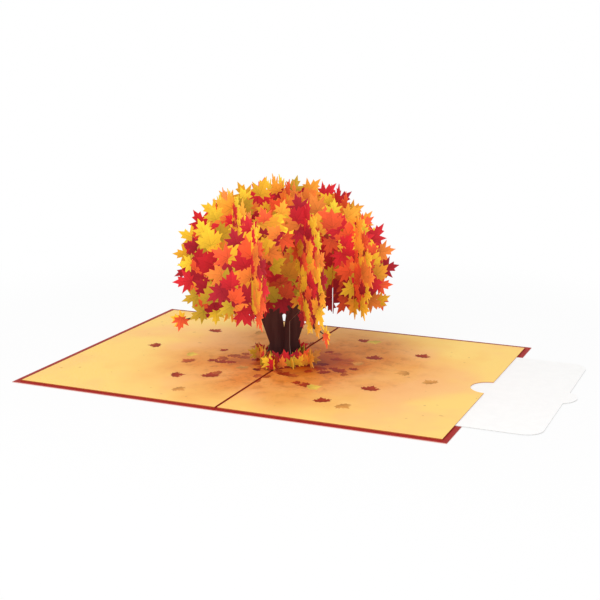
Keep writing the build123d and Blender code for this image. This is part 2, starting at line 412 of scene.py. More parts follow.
class Nodes:
    """A node tree, with short calls for the nodes that the finishes and the studio share."""

    def __init__(self, tree: bpy.types.NodeTree) -> None:
        """Takes the tree that the nodes go into."""
        self.tree = tree

    def feed(self, socket: bpy.types.NodeSocket, value: Feed) -> None:
        """Links a socket to another one, or sets its constant.

        Args:
            socket: the input.
            value: an output, a number, a colour, or None to leave the input as it is.
        """
        if isinstance(value, bpy.types.NodeSocket):
            self.tree.links.new(value, socket)
        elif isinstance(value, tuple) and socket.type == "RGBA":
            socket.default_value = (*value, 1)
        elif value is not None:
            socket.default_value = value

    def node(self, kind: str, *feeds: Feed, **settings: object) -> bpy.types.Node:
        """Adds a node.

        Args:
            kind: the node's type, without its prefix.
            feeds: what its inputs take, in order.
            settings: its options.

        Returns:
            The node.
        """
        node = self.tree.nodes.new("ShaderNode" + kind)
        for name, value in settings.items():
            setattr(node, name, value)
        for socket, value in zip(node.inputs, feeds):
            self.feed(socket, value)
        return node

    def math(self, operation: str, *feeds: Feed) -> bpy.types.NodeSocket:
        """One sum, product or other operation on numbers."""
        return self.node("Math", *feeds, operation=operation).outputs[0]

    def scale(self, colour: Feed, share: Feed) -> bpy.types.NodeSocket:
        """A colour or vector times a number."""
        return self.node("VectorMath", colour, None, None, share, operation="SCALE").outputs[0]

    def away(self, spot: Feed, centre: tuple[float, float, float]) -> bpy.types.NodeSocket:
        """Distance of a place from a fixed centre."""
        return self.node("VectorMath", spot, centre, operation="DISTANCE").outputs["Value"]

    def height(self, spot: Feed) -> bpy.types.NodeSocket:
        """The upright part of a place or a direction."""
        return self.node("SeparateXYZ", spot).outputs[2]

    def span(
        self, value: Feed, low: float, high: float, to_low: float = 0.0, to_high: float = 1.0
    ) -> bpy.types.NodeSocket:
        """A smooth step of a value from one range to another.

        Args:
            value: the value.
            low: start of its range.
            high: end of its range.
            to_low: what it starts from.
            to_high: what it ends at.

        Returns:
            The new value.
        """
        node = self.node("MapRange", value, low, high, to_low, to_high, interpolation_type="SMOOTHSTEP")
        return node.outputs[0]

    def mix(self, share: Feed, a: Feed, b: Feed) -> bpy.types.NodeSocket:
        """A colour between two others."""
        node = self.node("Mix", share, None, None, None, None, None, a, b, data_type="RGBA")
        return node.outputs[2]

    def noise(self, spot: Feed, count: float, detail: float) -> bpy.types.NodeSocket:
        """Cloudy noise, about 0.5 on average.

        Args:
            spot: the place.
            count: clouds a metre.
            detail: how finely they divide.

        Returns:
            The noise.
        """
        node = self.node("TexNoise", spot)
        node.inputs["Scale"].default_value = count
        node.inputs["Detail"].default_value = detail
        return node.outputs[0]

    def place(self) -> bpy.types.NodeSocket:
        """Place on the object, in metres."""
        return self.node("TexCoord").outputs["Object"]


class Shader(Nodes):
    """Node tree of one material with a principled surface."""

    FIBRES = 1900.0
    FIBRE_DETAIL = 3.0
    FIBRE_RANGE = (0.3, 0.7)
    BUMP = 0.35
    ROUGH_SPREAD = 0.06
    GLOSS = 0.06

    def __init__(self, name: str) -> None:
        """Starts a material.

        Args:
            name: its name.
        """
        self.material = bpy.data.materials.new(name)
        self.material.use_nodes = True
        super().__init__(self.material.node_tree)
        self.surface = self.tree.nodes["Principled BSDF"]

    def finish(self, colour: Feed, rough: float, fibre: float) -> bpy.types.Material:
        """Gives the surface its colour, and the faint relief and sheen of paper.

        Args:
            colour: its colour.
            rough: its roughness.
            fibre: depth of the fibres' relief.

        Returns:
            The material.
        """
        fibres = self.noise(self.place(), self.FIBRES, self.FIBRE_DETAIL)
        bump = self.node("Bump")
        bump.inputs["Strength"].default_value = self.BUMP
        bump.inputs["Distance"].default_value = fibre
        self.feed(bump.inputs["Height"], fibres)
        matt = self.span(fibres, *self.FIBRE_RANGE, rough - self.ROUGH_SPREAD, rough + self.ROUGH_SPREAD)
        self.feed(self.surface.inputs["Base Color"], colour)
        self.feed(self.surface.inputs["Normal"], bump.outputs[0])
        self.feed(self.surface.inputs["Roughness"], matt)
        self.surface.inputs["Specular IOR Level"].default_value = self.GLOSS
        return self.material


@dataclass(frozen=True)
class Clouds:
    """A cloudy field: clouds a metre, their detail, and what a range of their noise is turned into."""

    count: float
    detail: float = 2.0
    low: float = 0.3
    high: float = 0.7
    least: float = 0.0
    most: float = 1.0

    def value(self, nodes: Nodes, spot: Feed) -> bpy.types.NodeSocket:
        """The field's value at a place."""
        noise = nodes.noise(spot, self.count, self.detail)
        return nodes.span(noise, self.low, self.high, self.least, self.most)


@dataclass(frozen=True)
class Finish:
    """A paper finish: its name, its roughness and the depth of its fibres' relief."""

    name: str
    rough: float = 0.55
    fibre: float = 0.02 * MM

    def colour(self, shader: Shader) -> Feed:
        """The surface's colour, which each kind of finish makes in its own way."""
        raise NotImplementedError

    def material(self) -> bpy.types.Material:
        """The finish as a material."""
        shader = Shader(self.name)
        return shader.finish(self.colour(shader), self.rough, self.fibre)


@dataclass(frozen=True)
class LeafPrint(Finish):
    """Printed leaves: each has a vein along each lobe, a lighter half, and a tip lighter than its base; the
    darker base is partly print and partly painted shade from the leaves that lie over it.

    Leaves near the middle of the crown's underside are darker: painted shade, where the crown's inner sheets
    lie in shade.
    """

    name: str = "leaf_print"
    vein_base: float = 0.12
    vein_width: float = 0.022
    vein_tone: float = 0.72
    half_tone: float = 0.045
    base_print_and_shade_tone: float = 0.82
    tip_tone: float = 1.06
    tip_height: float = 0.8
    # Painted shade: the crown's leaves darken towards a point low on the tree's axis, between these inner and
    # outer distances
    painted_shade_centre: tuple[float, float, float] = (0.0, 0.0, 0.03)
    painted_shade_inner: float = 0.012
    painted_shade_reach: float = 0.078
    painted_shade_tone: float = 0.68
    pile_top: float = 0.018
    grain: Clouds = Clouds(900.0, least=0.96, most=1.04)
    veins: tuple[tuple[float, float], ...] = ((0.0, 0.84), (0.53, 0.38), (0.44, 0.06))

    def vein_mask(self, shader: Shader, u: Feed, v: Feed) -> bpy.types.NodeSocket:
        """Makes the mask of the veins.

        Args:
            shader: the material's nodes.
            u: place across the leaf.
            v: place up the leaf.

        Returns:
            1 on a vein, 0 off it.
        """
        side = shader.math("ABSOLUTE", u)
        rise = shader.math("SUBTRACT", v, self.vein_base)
        mask: Feed = 0.0
        for end in self.veins:
            length = math.hypot(*end)
            du, dv = end[0] / length, end[1] / length
            along = shader.math("MULTIPLY_ADD", side, du, shader.math("MULTIPLY", rise, dv))
            off = shader.math("MULTIPLY_ADD", side, dv, shader.math("MULTIPLY", rise, -du))
            near = shader.span(shader.math("ABSOLUTE", off), 0.0, self.vein_width, 1.0, 0.0)
            fade = shader.span(along, 0.0, length, 1.0, 0.0)
            begun = shader.math("GREATER_THAN", along, 0.0)
            line = shader.math("MULTIPLY", near, shader.math("MULTIPLY", fade, begun))
            mask = shader.math("MAXIMUM", mask, line)
        return mask

    def colour(self, shader: Shader) -> Feed:
        """Makes the leaves' colour from the tone and the place on a leaf that the mesh carries.

        Args:
            shader: the material's nodes.

        Returns:
            The colour.
        """
        place = shader.place()
        tone = shader.node("Attribute", attribute_name=PRINT_LAYER).outputs["Color"]
        spot = shader.node("Attribute", attribute_name=SPOT_LAYER).outputs["Vector"]
        u, v, _ = shader.node("SeparateXYZ", spot).outputs
        half = shader.math("MULTIPLY_ADD", shader.math("SIGN", u), self.half_tone, 1.0)
        # Darker at each leaf's base: partly the print's own gradient, partly painted shade from the leaves
        # that lie over it
        tip = shader.span(v, 0.0, self.tip_height, self.base_print_and_shade_tone, self.tip_tone)
        vein = shader.math("MULTIPLY_ADD", self.vein_mask(shader, u, v), self.vein_tone - 1, 1.0)
        grain = self.grain.value(shader, place)
        # Painted shade in the crown: darker towards a point low on the tree's axis, and none on the leaf pile
        # near the floor
        away = shader.away(place, self.painted_shade_centre)
        depth = shader.span(away, self.painted_shade_inner, self.painted_shade_reach, self.painted_shade_tone)
        in_pile = shader.math("LESS_THAN", shader.height(place), self.pile_top)
        depth = shader.math("MAXIMUM", depth, in_pile)
        for share in (half, tip, vein, grain, depth):
            tone = shader.scale(tone, share)
        return tone


@dataclass(frozen=True)
class BarkPrint(Finish):
    """Printed bark: dark brown with upright streaks."""

    name: str = "bark_print"
    dark: str = "4b2a29"
    light: str = "563431"
    streaks: Clouds = Clouds(420.0, 4.0, low=0.35)
    stretch: tuple[float, float, float] = (1.0, 1.0, 0.12)

    def colour(self, shader: Shader) -> Feed:
        """The two browns, mixed in streaks."""
        grain = shader.node("VectorMath", shader.place(), self.stretch, operation="MULTIPLY").outputs[0]
        return shader.mix(self.streaks.value(shader, grain), linear(self.dark), linear(self.light))


@dataclass(frozen=True)
class GroundPrint(Finish):
    """Printed ground of the liners: pale gold, turning to brown under the tree, with specks.

    The stops are shares of the reach from the centre, and the other ranges are metres from it.
    """

    name: str = "ground_print"
    rough: float = 0.5
    fibre: float = 0.015 * MM
    centre: tuple[float, float, float] = (0.008, 0.006, 0.0)
    reach: float = 0.118
    wobble: float = 0.08
    wobble_count: float = 26.0
    wobble_detail: float = 4.0
    stops: tuple[tuple[float, str], ...] = (
        (0.00, "9a3c06"), (0.16, "c2580e"), (0.34, "e88e36"),
        (0.55, "f5b25c"), (0.74, "fdca70"), (0.92, "ffd87a"),
    )
    blush: str = "fdbe80"
    blushes: Clouds = Clouds(16.0, 3.0, 0.42, 0.68, most=0.65)
    blush_range: tuple[float, float] = (0.03, 0.08)
    tree_range: tuple[float, float] = (0.02, 0.085)
    dab: str = "b4642c"
    dabs: Clouds = Clouds(150.0, 3.0, 0.5, 0.66, most=0.5)
    fine_dabs: Clouds = Clouds(520.0, 3.0, 0.54, 0.66, most=0.3)
    speck: str = "9a5a2a"
    specks: Clouds = Clouds(240.0, 1.0, 0.745, 0.785, most=0.3)

    def ramp(self, shader: Shader, share: Feed) -> bpy.types.NodeSocket:
        """Makes the colours that change outwards from the tree.

        Args:
            shader: the material's nodes.
            share: distance from the centre, as a share of the reach.

        Returns:
            The colour.
        """
        node = shader.node("ValToRGB", share)
        stops = node.color_ramp.elements
        for at, _ in self.stops[1:-1]:
            stops.new(at)
        for stop, (at, code) in zip(stops, self.stops):
            stop.position = at
            stop.color = (*linear(code), 1)
        return node.outputs[0]

    def colour(self, shader: Shader) -> Feed:
        """Makes the ground's colour, with a blush further out, dabs under the tree and specks all over.

        Args:
            shader: the material's nodes.

        Returns:
            The colour.
        """
        place = shader.place()
        clouds = shader.noise(place, self.wobble_count, self.wobble_detail)
        swing = shader.math("SUBTRACT", clouds, 0.5)
        bent = shader.math("MULTIPLY_ADD", swing, self.wobble, shader.away(place, self.centre))
        colour = self.ramp(shader, shader.math("DIVIDE", bent, self.reach))
        far_out = shader.span(bent, *self.blush_range)
        under_tree = shader.span(bent, *self.tree_range, 1.0, 0.0)
        layers = (
            (self.blushes, far_out, self.blush),
            (self.dabs, under_tree, self.dab),
            (self.fine_dabs, under_tree, self.speck),
        )
        for layer, where, code in layers:
            share = shader.math("MULTIPLY", layer.value(shader, place), where)
            colour = shader.mix(share, colour, linear(code))
        return shader.mix(self.specks.value(shader, place), colour, linear(self.speck))


@dataclass(frozen=True)
class CutPaper(Finish):
    """Cut edge or bare back of a printed sheet: pale paper with some of the print's colour."""

    name: str = "cut_paper"
    rough: float = 0.6
    paper: str = "f1e4d0"
    tint: float = 0.97

    def colour(self, shader: Shader) -> Feed:
        """The paper's colour, tinted by the print."""
        tone = shader.node("Attribute", attribute_name=PRINT_LAYER).outputs["Color"]
        return shader.mix(self.tint, linear(self.paper), tone)


@dataclass(frozen=True, kw_only=True)
class Board(Finish):
    """Coloured card or paper, with a tone of its own on its cut edges: the sheet's core on the cover, and on
    the note card a grey that is painted shade.
    """

    face: str
    cut_edge_tone: str
    mottle: float = 0.05
    clouds: float = 160.0
    cloud_detail: float = 4.0
    level: float = 0.5

    def colour(self, shader: Shader) -> Feed:
        """Makes the mottled colour of the face, and the cut edges' tone where the surface stands upright.

        Args:
            shader: the material's nodes.

        Returns:
            The colour.
        """
        clouds = Clouds(self.clouds, self.cloud_detail, least=1 - self.mottle, most=1 + self.mottle)
        face = shader.scale(linear(self.face), clouds.value(shader, shader.place()))
        normal = shader.node("NewGeometry").outputs["Normal"]
        lying = shader.math("GREATER_THAN", shader.math("ABSOLUTE", shader.height(normal)), self.level)
        return shader.mix(lying, linear(self.cut_edge_tone), face)


COVER_BOARD = Board("cover_board", face="a52a27", cut_edge_tone="d9a79c", rough=0.5)
# The note card's grey cut edges are painted shade, which draws its outline on the white floor
NOTE_BOARD = Board("note_board", face="fcfcfb", cut_edge_tone="d2d2d0", mottle=0.01)
GLUE_TAPE = Board("glue_tape", face="e6e0cc", cut_edge_tone="d8d0b8", rough=0.25)
GLUE_BEAD = Board("glue_bead", face="b85a3a", cut_edge_tone="c4683e", rough=0.25)


PRINTS = {
    Coat.LEAF: LeafPrint(),
    Coat.BARK: BarkPrint(),
    Coat.GROUND: GroundPrint(),
    Coat.BARE: CutPaper(),
}


@dataclass(frozen=True)
class Finishes:
    """The materials of a printed sheet, one for each coat."""

    coats: dict[Coat, bpy.types.Material]

    @classmethod
    def made(cls) -> "Finishes":
        """Makes the materials."""
        return cls({coat: finish.material() for coat, finish in PRINTS.items()})


# Printed sheets

@dataclass
class PrintedSheet:
    """A flat sheet that stands for one node, with its faces divided along the shapes printed on it."""

    node: str
    slot: str
    axes: Axes
    thick: float
    ground: Coat = Coat.LEAF
    ground_tone: Tone = Tone.SHADE
    printed_back: bool = True
    outline_side: int = 1

    FAR_SPOT = (9.0, 9.0, 0.0)
    LEVEL_SLACK = 0.01 * MM
    GRID = 1e6

    def patches(self) -> list[Patch]:
        """The shapes printed on the sheet, lowest first."""
        return []

    def loops(self) -> list[Loop]:
        """Finds the closed runs round one face of the node.

        Returns:
            The outline, and its holes after it.
        """
        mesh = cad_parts[self.node].data
        level = self.outline_side * self.thick / 2
        spots: dict[Point, Point] = {}
        pairs: set[tuple[Point, Point]] = set()
        for polygon in mesh.polygons:
            corners = [self.axes.flatten(mesh.vertices[i].co) for i in polygon.vertices]
            if any(abs(lift - level) > self.LEVEL_SLACK for _, _, lift in corners):
                continue
            keys = [(round(s * self.GRID), round(z * self.GRID)) for s, z, _ in corners]
            spots.update({key: corner[:2] for key, corner in zip(keys, corners)})
            pairs.update(zip(keys, keys[1:] + keys[:1]))
        edges = {a: b for a, b in pairs if (b, a) not in pairs}
        loops = []
        while edges:
            start = min(edges)
            loop, key = [spots[start]], edges.pop(start)
            while key != start:
                loop.append(spots[key])
                key = edges.pop(key)
            loops.append(loop)
        return sorted(loops, key=lambda loop: -abs(signed_area(loop)))

    def build(self, finishes: Finishes) -> bpy.types.Object:
        """Makes the sheet and puts it in the node's place.

        Args:
            finishes: the materials of the coats.

        Returns:
            The sheet's object.
        """
        outer, *holes = self.loops()
        patches = self.patches()
        division = Division.of(outer, holes, [patch.outline for patch in patches])
        count = len(division.spots)
        lifts = (self.thick / 2, -self.thick / 2)
        spots = [self.axes.place(spot, lift) for lift in lifts for spot in division.spots]
        faces = list(division.triangles)
        faces += [(c + count, b + count, a + count) for a, b, c in division.triangles]
        rim = division.rim()
        faces += [(b, a, a + count, b + count) for a, b in rim]
        mesh = bpy.data.meshes.new("printed_" + self.node)
        mesh.from_pydata(spots, [], faces)
        owners = [*division.tops, *division.tops, *[division.tops[k] for k in rim.values()]]
        self.dress(mesh, finishes, division, [patches[top] if top >= 0 else None for top in owners])
        piece = placed(mesh.name, mesh)
        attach(piece, CARD_BODY)
        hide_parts(self.node)
        return piece

    def dress(
        self, mesh: bpy.types.Mesh, finishes: Finishes, division: Division, owners: list[Patch | None]
    ) -> None:
        """Gives each face its coat, its tone and its place on a leaf.

        Args:
            mesh: the sheet's mesh: its front, its back and its cut edges.
            finishes: the materials of the coats.
            division: the sheet's triangles.
            owners: the printed shape on, or beside, each face.
        """
        order = list(Coat)
        for coat in order:
            mesh.materials.append(finishes.coats[coat])
        count = len(division.triangles)
        tones: list[float] = []
        places: list[float] = []
        for polygon, patch in zip(mesh.polygons, owners):
            front, rim = polygon.index < count, polygon.index >= 2 * count
            coat, tone = self.ground, self.ground_tone
            if patch:
                coat, tone = patch.coat, patch.back if count <= polygon.index < 2 * count else patch.front
            if rim:
                coat, tone = Coat.BARE, Tone.SPLIT if coat is Coat.BARK else tone
            elif not (front or self.printed_back):
                coat, tone = Coat.BARE, Tone.PAPER
            polygon.material_index = order.index(coat)
            shade = patch.leaf.shade if patch and patch.leaf else 1.0
            for corner in polygon.vertices:
                spot = division.spots[corner % len(division.spots)]
                tones += (*[shade * part for part in tone.rgb], 1.0)
                places += (*patch.leaf.local(spot), 0.0) if patch and patch.leaf else self.FAR_SPOT
        mesh.color_attributes.new(PRINT_LAYER, "FLOAT_COLOR", "CORNER").data.foreach_set("color", tones)
        mesh.attributes.new(SPOT_LAYER, "FLOAT_VECTOR", "CORNER").data.foreach_set("vector", places)


class SheetSet(Enum):
    """The two sets of standing sheets: the direction that they run in, and the one they are spaced in."""

    A = ((1, 1), (1, -1))
    B = ((1, -1), (1, 1))

    def axes(self, offset: float) -> Axes:
        """Where the set's sheet at an offset from the middle lies."""
        along, across = [Vector((x, y, 0)).normalized() for x, y in self.value]
        return Axes(across * offset, along, UP)


CROWN_MIX = LeafMix(
    low={
        Tone.CRIMSON: 3, Tone.RED: 3.5, Tone.FLAME: 6, Tone.ORANGE: 3,
        Tone.AMBER: 0.6, Tone.YELLOW: 0.7, Tone.OLIVE: 1,
    },
    high={
        Tone.LEMON: 5, Tone.YELLOW: 5, Tone.AMBER: 3, Tone.ORANGE: 4,
        Tone.FLAME: 2.5, Tone.RED: 1, Tone.CRIMSON: 1,
    },
)
CENTRE_MIX = LeafMix(
    low={Tone.CRIMSON: 2.5, Tone.RED: 2, Tone.OLIVE: 4.5, Tone.LEMON: 0.8, Tone.AMBER: 1.6, Tone.FLAME: 2.5},
    high={Tone.LEMON: 4, Tone.YELLOW: 3, Tone.AMBER: 3, Tone.ORANGE: 2, Tone.RED: 2, Tone.CRIMSON: 1},
)
COLUMN_MIX = LeafMix(
    low={Tone.FLAME: 3, Tone.ORANGE: 3, Tone.AMBER: 2, Tone.YELLOW: 3, Tone.RED: 2.5, Tone.CRIMSON: 2},
    high={Tone.LEMON: 3, Tone.YELLOW: 3, Tone.AMBER: 3, Tone.ORANGE: 3, Tone.FLAME: 1.5, Tone.RED: 1},
)


@dataclass
class Foliage:
    """Sizes of the tree's crown and trunk, and where its leaves grow, as on the cut sheets.

    A foot leaf has its place as shares of the foot's half width and height, and its turn.
    """

    floor: float = 1.15 * MM
    thick: float = 0.35 * MM
    pitch: float = 31 * MM
    radius: float = 67 * MM
    middle: float = 57.5 * MM
    rise: float = 56 * MM
    skirt_low: float = 33.5 * MM
    centre_skirt_low: float = 26 * MM
    skirt_tuck: float = 9 * MM
    arch_half: float = 21 * MM
    arch_top: float = 77 * MM
    canopy_underside: float = 38 * MM
    trunk_half: float = 9 * MM
    trunk_waist: float = 14 * MM
    fork_low: float = 22 * MM
    fork_high: float = 31 * MM
    fork_spread: float = 4 * MM
    bough_root: float = 28.5 * MM
    bough_reach: float = 32 * MM
    bough_end: float = 43 * MM
    bough_width: float = 5 * MM
    foot_half: float = 15 * MM
    foot_height: float = 7 * MM
    foot_edge: float = 4 * MM
    foot_flare: float = 2 * MM
    limb_width: float = 3 * MM
    limb_reach: float = 8 * MM
    limb_tip: float = 1.5 * MM
    twig_root: float = 18 * MM
    twig_reach: float = 4 * MM
    twig_drop: float = 1 * MM
    twig_thick: float = 1.5 * MM
    twig_spread: float = 70
    twig_hang: float = 15
    leaf_small: float = 9.5 * MM
    leaf_large: float = 13.5 * MM
    leaf_spacing: float = 10.2 * MM
    leaf_turn: float = 32
    edge_inset: float = 8.5 * MM
    arc_step: int = 15
    bleed: float = 0.1 * MM

    HALF_TURN = 180
    FOOT_LEAVES = ((0.0, 0.1, 95), (0.55, 0.2, 75), (-0.55, 0.15, 110), (0.9, 0.35, 80), (-0.9, 0.35, 105))

    def ends(self, offset: float) -> Point:
        """Measures the run that a sheet's edge leaves grow from.

        Args:
            offset: the sheet's offset from the middle.

        Returns:
            The run's half length and its lowest height.
        """
        reach = math.sqrt(self.radius ** 2 - offset ** 2)
        low = self.skirt_low if offset else self.centre_skirt_low
        return reach - self.edge_inset, low + self.edge_inset

    def dome_point(self, offset: float, turn: float) -> Point:
        """Finds a point of the dome's part of that run.

        Args:
            offset: the sheet's offset from the middle.
            turn: degrees from the sheet's +s end.

        Returns:
            The point.
        """
        half, _ = self.ends(offset)
        rise = self.rise * (half + self.edge_inset) / self.radius - self.edge_inset
        return half * math.cos(math.radians(turn)), self.middle + rise * math.sin(math.radians(turn))

    def arch_point(self, offset: float, turn: float) -> Point:
        """Finds a point of the run's arch.

        Args:
            offset: the sheet's offset from the middle.
            turn: degrees from the sheet's +s end.

        Returns:
            The point.
        """
        _, low = self.ends(offset)
        wide, tall = self.arch_half + self.edge_inset, self.arch_top + self.edge_inset - low
        return wide * math.cos(math.radians(turn)), low + tall * math.sin(math.radians(turn))

    def path(self, offset: float, trunk_top: bool) -> Loop:
        """Draws that run, anticlockwise: a dome over an arch, or over the top of set A's trunk.

        Args:
            offset: the sheet's offset from the middle.
            trunk_top: whether the trunk's top takes the arch's place.

        Returns:
            The run's corners.
        """
        half, low = self.ends(offset)
        turns = range(0, self.HALF_TURN + 1, self.arc_step)
        path = [(half - self.skirt_tuck, low)] + [self.dome_point(offset, turn) for turn in turns]
        path.append((self.skirt_tuck - half, low))
        if trunk_top:
            return path + [(side * self.trunk_half, self.canopy_underside) for side in (-1, 1)]
        return path + [self.arch_point(offset, turn) for turn in reversed(turns)]

    def edge_leaves(self, path: Loop, seed: int) -> list[Leaf]:
        """Grows leaves at even steps along a closed run, each turned a little from straight out.

        Args:
            path: the run.
            seed: starts the draws of turns and sizes.

        Returns:
            The leaves.
        """
        chance = random.Random(seed)
        corners = path + path[:1]
        lengths = [math.dist(a, b) for a, b in zip(corners, corners[1:])]
        count = round(sum(lengths) / self.leaf_spacing)
        leaves = []
        for i in range(count):
            left = i * sum(lengths) / count
            k = 0
            while left > lengths[k]:
                left -= lengths[k]
                k += 1
            (s_a, z_a), (s_b, z_b) = corners[k], corners[k + 1]
            share = left / lengths[k]
            outward = math.degrees(math.atan2(s_a - s_b, z_b - z_a))
            angle = outward + chance.uniform(-self.leaf_turn, self.leaf_turn)
            size = chance.uniform(self.leaf_small, self.leaf_large)
            leaves.append(Leaf(s_a + share * (s_b - s_a), z_a + share * (z_b - z_a), angle, size))
        return leaves

    def twig(self, side: int) -> tuple[Loop, list[Leaf]]:
        """Draws a drooping twig at one end of a centre sheet.

        Args:
            side: 1 at the sheet's +s end, -1 at the other.

        Returns:
            The twig's corners, and the two leaves at its tip.
        """
        half, low = self.ends(0)
        s_root, s_tip = side * (half - self.twig_root), side * (half + self.twig_reach)
        z_tip, half_root = low - self.twig_drop, self.twig_thick + self.bleed
        shape = [(s_root, low - half_root), (s_root, low + half_root), (s_tip + side * self.bleed, z_tip)]
        angles = (90 - side * self.twig_spread, side * self.twig_hang - 90)
        return shape, [Leaf(s_tip, z_tip, angle, self.leaf_small) for angle in angles]

    def trunk(self, forked: bool) -> Loop:
        """Draws the trunk from its foot up.

        Args:
            forked: whether it has set B's two boughs, or else set A's limbs.

        Returns:
            The trunk's corners.
        """
        foot, half = self.foot_half + self.bleed, self.trunk_half + self.bleed
        right = [
            (foot, self.floor - self.bleed), (foot, self.floor + self.foot_edge),
            (half + self.foot_flare, self.floor + self.foot_height), (half, self.trunk_waist),
        ]
        middle = []
        if forked:
            right += [
                (half, self.bough_root), (self.bough_reach, self.bough_end - self.bleed),
                (self.bough_reach, self.bough_end + self.bough_width + self.bleed),
                (self.fork_spread - self.bleed, self.fork_high + self.bleed),
            ]
            middle = [(0.0, self.fork_low + self.bleed)]
        else:
            limb = half + self.limb_reach + self.limb_tip
            right.append((limb, self.canopy_underside + self.limb_width))
        return right + middle + [(-s, z) for s, z in reversed(right)]

    def foot_leaves(self) -> list[Leaf]:
        """Lays leaves over the trunk's foot, so that it is part of the pile.

        Returns:
            The leaves.
        """
        leaves = []
        for across, up, turn in self.FOOT_LEAVES:
            spot = (across * self.foot_half, self.floor + up * self.foot_height)
            leaves.append(Leaf(*spot, turn, self.leaf_small, LeafShape.PRINTED))
        return leaves


@dataclass
class CrownSheet(PrintedSheet):
    """One sheet of the tree's crown; the two centre sheets have the trunk too."""

    foliage: Foliage = field(default_factory=Foliage)
    offset: float = 0.0
    seed: int = 0
    mix: LeafMix = CROWN_MIX
    under_step: float = 8 * MM
    under_size: float = 17 * MM
    over_step: float = 8.8 * MM
    over_small: float = 8 * MM
    over_large: float = 14 * MM
    over_margin: float = 3.5 * MM
    jitter: float = 0.38
    inner_turn: float = 75
    forked: bool = False
    twig_tones: tuple[Tone, Tone] = (Tone.YELLOW, Tone.FLAME)
    paint_seed: int = 7000

    def scatter(self, path: Loop, step: float, chance: random.Random) -> list[tuple[Point, float]]:
        """Scatters spots over the sheet inside the run that its edge leaves grow from.

        Args:
            path: the run.
            step: spacing of the spots.
            chance: source of the draws.

        Returns:
            The spots in mixed order, each with its distance from the run.
        """
        reach, low, high = max(s for s, _ in path), min(z for _, z in path), max(z for _, z in path)
        spots = []
        for row in range(int((high - low) / step) + 1):
            for column in range(int(2 * reach / step) + 2):
                s = (column + row % 2 / 2 + chance.uniform(-self.jitter, self.jitter)) * step - reach
                spots.append((s, low + (row + chance.uniform(-self.jitter, self.jitter)) * step))
        kept = [spot for spot, within in zip(spots, inside(np.array(spots), path)) if within]
        chance.shuffle(kept)
        return [(spot, clearance(spot, path)) for spot in kept]

    def under_leaves(self, path: Loop, chance: random.Random) -> list[Leaf]:
        """Lays large leaves that cover the sheet, under its edge leaves.

        Args:
            path: the run that the edge leaves grow from.
            chance: source of the draws.

        Returns:
            The leaves.
        """
        turn = self.inner_turn
        return [
            Leaf(*spot, 90 + chance.uniform(-turn, turn), self.under_size, LeafShape.PRINTED)
            for spot, _ in self.scatter(path, self.under_step, chance)
        ]

    def over_leaves(self, path: Loop, chance: random.Random) -> list[Leaf]:
        """Lays leaves over the others, small enough to stay off the sheet's edge.

        Args:
            path: the run that the edge leaves grow from.
            chance: source of the draws.

        Returns:
            The leaves.
        """
        leaves = []
        for spot, room in self.scatter(path, self.over_step, chance):
            angle = 90 + chance.uniform(-self.inner_turn, self.inner_turn)
            largest = (room + self.over_margin) / (1 - Leaf.anchor)
            size = min(chance.uniform(self.over_small, self.over_large), largest)
            if room > self.over_margin:
                leaves.append(Leaf(*spot, angle, size, LeafShape.PRINTED))
        return leaves

    def patches(self) -> list[Patch]:
        """Prints the trunk and twigs, and the leaves in three layers, the edge leaves between the other two.

        Returns:
            The shapes, lowest first.
        """
        chance = random.Random(self.seed + self.paint_seed)
        centre = not self.offset
        path = self.foliage.path(self.offset, centre and not self.forked)
        heights = [z for _, z in path]
        painter = Painter(self.mix, chance, min(heights), max(heights))
        edge = self.foliage.edge_leaves(path, self.seed)
        patches = []
        foot = []
        if centre:
            foot = self.foliage.foot_leaves()
            patches.append(Patch(self.foliage.trunk(self.forked), Coat.BARK, Tone.BARK, Tone.BARK))
            for side in (-1, 1):
                shape, leaves = self.foliage.twig(side)
                patches.append(Patch(shape, Coat.BARK, Tone.BARK, Tone.BARK))
                painter.fixed.update(zip(leaves, self.twig_tones))
                edge += leaves
        chance.shuffle(edge)
        leaves = foot + self.under_leaves(path, chance) + edge + self.over_leaves(path, chance)
        return patches + [painter.patch(leaf) for leaf in leaves]


